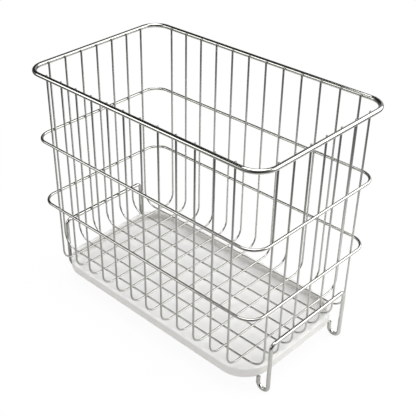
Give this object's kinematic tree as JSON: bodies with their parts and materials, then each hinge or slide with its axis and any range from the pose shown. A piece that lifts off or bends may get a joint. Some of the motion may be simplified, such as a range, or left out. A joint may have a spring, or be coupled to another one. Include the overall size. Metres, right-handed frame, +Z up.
{
  "type": "wire storage basket with drip tray",
  "caption": "Tall slim wire basket with a thick round-cornered rim, welded mesh, hooked feet and a shallow white drip tray that slides out below.",
  "frame": {"origin": "on the ground, below the middle of the basket", "axes": "+X along the basket's long side, +Y towards the far long side, +Z up"},
  "size_m": [0.3656, 0.218, 0.309],
  "materials": {
    "rim_steel": "polished stainless steel wire",
    "ring_steel": "polished stainless steel wire",
    "mesh_steel": "electropolished stainless steel wire",
    "leg_steel": "polished stainless steel wire",
    "tray_plastic": "white moulded polypropylene, satin"
  },
  "bodies": {
    "basket": {"rim": "rim_steel", "middle_ring": "ring_steel", "lower_ring": "ring_steel", "cross_wire_01": "mesh_steel", "cross_wire_02": "mesh_steel", "cross_wire_03": "mesh_steel", "cross_wire_04": "mesh_steel", "cross_wire_05": "mesh_steel", "cross_wire_06": "mesh_steel", "cross_wire_07": "mesh_steel", "cross_wire_08": "mesh_steel", "cross_wire_09": "mesh_steel", "cross_wire_10": "mesh_steel", "cross_wire_11": "mesh_steel", "cross_wire_12": "mesh_steel", "long_wire_1": "mesh_steel", "long_wire_2": "mesh_steel", "long_wire_3": "mesh_steel", "long_wire_4": "mesh_steel", "long_wire_5": "mesh_steel", "long_wire_6": "mesh_steel", "long_wire_7": "mesh_steel", "left_leg_frame": "leg_steel", "right_leg_frame": "leg_steel"},
    "tray": {"drip_tray": "tray_plastic"}
  },
  "joints": [
    {"name": "tray_slide", "type": "slide", "parent": "basket", "child": "tray", "axis": [0, -1, 0], "range_m": [-0.17, 0.17]}
  ]
}
